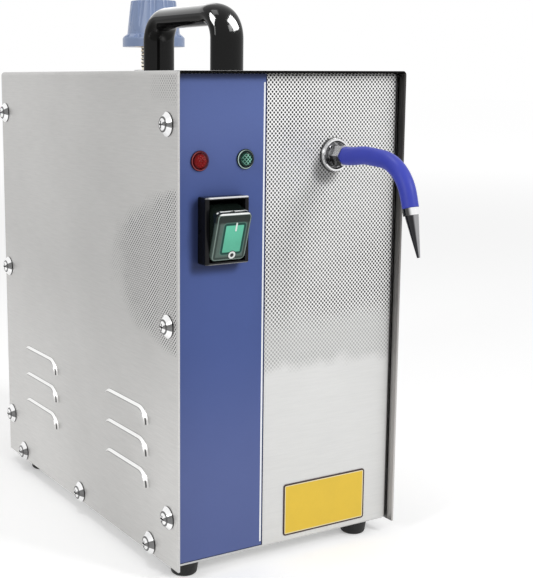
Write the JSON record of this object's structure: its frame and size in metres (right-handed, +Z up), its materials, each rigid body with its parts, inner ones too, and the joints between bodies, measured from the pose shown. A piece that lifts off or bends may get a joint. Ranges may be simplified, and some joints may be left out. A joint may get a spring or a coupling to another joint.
{
  "type": "jewelry steam cleaner",
  "caption": "Bench-top steam cleaner: upright steel case with a front spout, rocker switch, pilot lamps, carrying handle, filler cap and drain cock.",
  "frame": {"origin": "on the floor under the middle of the whole outline, from the spout's tip to the drain's end", "axes": "+X right seen from the front, +Y to the back, +Z up; the front faces -Y"},
  "size_m": [0.1888, 0.4278, 0.3911],
  "materials": {
    "cover_steel": "fine brushed stainless sheet",
    "panel_steel": "satin stainless sheet with a printed dot pattern",
    "inner_steel": "plain stainless",
    "strip_blue": "satin blue paint",
    "label_yellow": "printed film",
    "black_rubber": "moulded",
    "white_rubber": "silicone",
    "fastener": "bright plated",
    "handle_black": "polished black",
    "brass": "turned",
    "copper_pipe": "drawn copper",
    "washer_white": "moulded",
    "cap_blue": "moulded periwinkle",
    "lagging": "needled glass felt",
    "black_moulding": "moulded",
    "ivory_moulding": "moulded",
    "thermostat_metal": "pressed",
    "spout_chrome": "polished",
    "sleeve_blue": "smooth insulating sleeve",
    "red_lens": "translucent",
    "green_lens": "translucent",
    "switch_black": "polished",
    "boot_clear": "clear soft moulding",
    "rocker_green": "translucent green",
    "lever_red": "dipped"
  },
  "bodies": {
    "case": {"outer_cover": "cover_steel", "base_tray": "inner_steel", "front_panel": "panel_steel", "rear_panel": "cover_steel", "control_strip": "strip_blue", "label_plate": "label_yellow", "foot_front_left": "black_rubber", "foot_front_right": "black_rubber", "foot_rear_left": "black_rubber", "foot_rear_right": "black_rubber", "foot_screws": "fastener", "cup_washers": "fastener", "cover_screws": "fastener", "handle": "handle_black", "handle_screws": "fastener", "filler_neck": "brass", "deck_washer": "washer_white", "boiler_shell": "inner_steel", "boiler_top_head": "inner_steel", "boiler_bottom_head": "inner_steel", "boiler_jacket": "lagging", "boiler_stand": "inner_steel", "heater_plug": "brass", "heating_element": "inner_steel", "pressure_switch": "black_moulding", "thermostat": "thermostat_metal", "valve_body": "brass", "valve_spring": "fastener", "valve_coil": "black_moulding", "steam_pipe": "copper_pipe", "outlet_pipe": "copper_pipe", "spout_escutcheon": "spout_chrome", "spout_fitting": "spout_chrome", "fitting_nut": "brass", "spout_tube": "inner_steel", "spout_sleeve": "sleeve_blue", "nozzle_collar": "spout_chrome", "nozzle_tip": "spout_chrome", "red_lamp_lens": "red_lens", "green_lamp_lens": "green_lens", "lamp_bodies": "black_moulding", "switch_housing": "switch_black", "rocker_pin": "inner_steel", "drain_pipe": "brass", "drain_cock": "brass", "power_inlet": "black_moulding", "inlet_pins": "brass", "inlet_screws": "fastener", "pedal_socket": "black_moulding", "terminal_block": "ivory_moulding"},
    "rocker": {"switch_rocker": "rocker_green", "rocker_boot": "boot_clear"},
    "cap_seat": {"cap_gasket": "white_rubber"},
    "cap": {"cap_knob": "cap_blue", "cap_insert": "brass", "relief_spring": "fastener"},
    "relief_valve": {"relief_poppet": "brass"},
    "plunger": {"valve_plunger": "inner_steel"},
    "drain_handle": {"drain_plug": "brass", "drain_lever": "lever_red"}
  },
  "joints": [
    {"name": "rocker_press", "type": "hinge", "parent": "case", "child": "rocker", "pos_m": [-0.05575, -0.12859, 0.2325], "axis": [-1, 0, 0], "range_deg": [0, 34]},
    {"name": "cap_lift", "type": "slide", "parent": "case", "child": "cap_seat", "axis": [0, 0, 1], "range_m": [0, 0.009]},
    {"name": "cap_turn", "type": "hinge", "parent": "cap_seat", "child": "cap", "pos_m": [0.028, 0.11691, 0.3535], "axis": [0, 0, 1], "range_deg": [0, 1080]},
    {"name": "relief_lift", "type": "slide", "parent": "cap", "child": "relief_valve", "axis": [0, 0, 1], "range_m": [0, 0.0014], "stiffness_N_per_m": 5000, "springref_m": -0.0028, "deforming": ["relief_spring"]},
    {"name": "plunger_lift", "type": "slide", "parent": "case", "child": "plunger", "axis": [0, 0, 1], "range_m": [0, 0.003], "stiffness_N_per_m": 400, "springref_m": -0.005, "deforming": ["valve_spring"]},
    {"name": "drain_turn", "type": "hinge", "parent": "case", "child": "drain_handle", "pos_m": [0.015, 0.17891, 0.0995], "axis": [0, 0, 1], "range_deg": [0, 90]}
  ],
  "couplings": [
    {"joint": "cap_turn", "follows": "cap_lift", "rad_per_m": 2094.4}
  ]
}
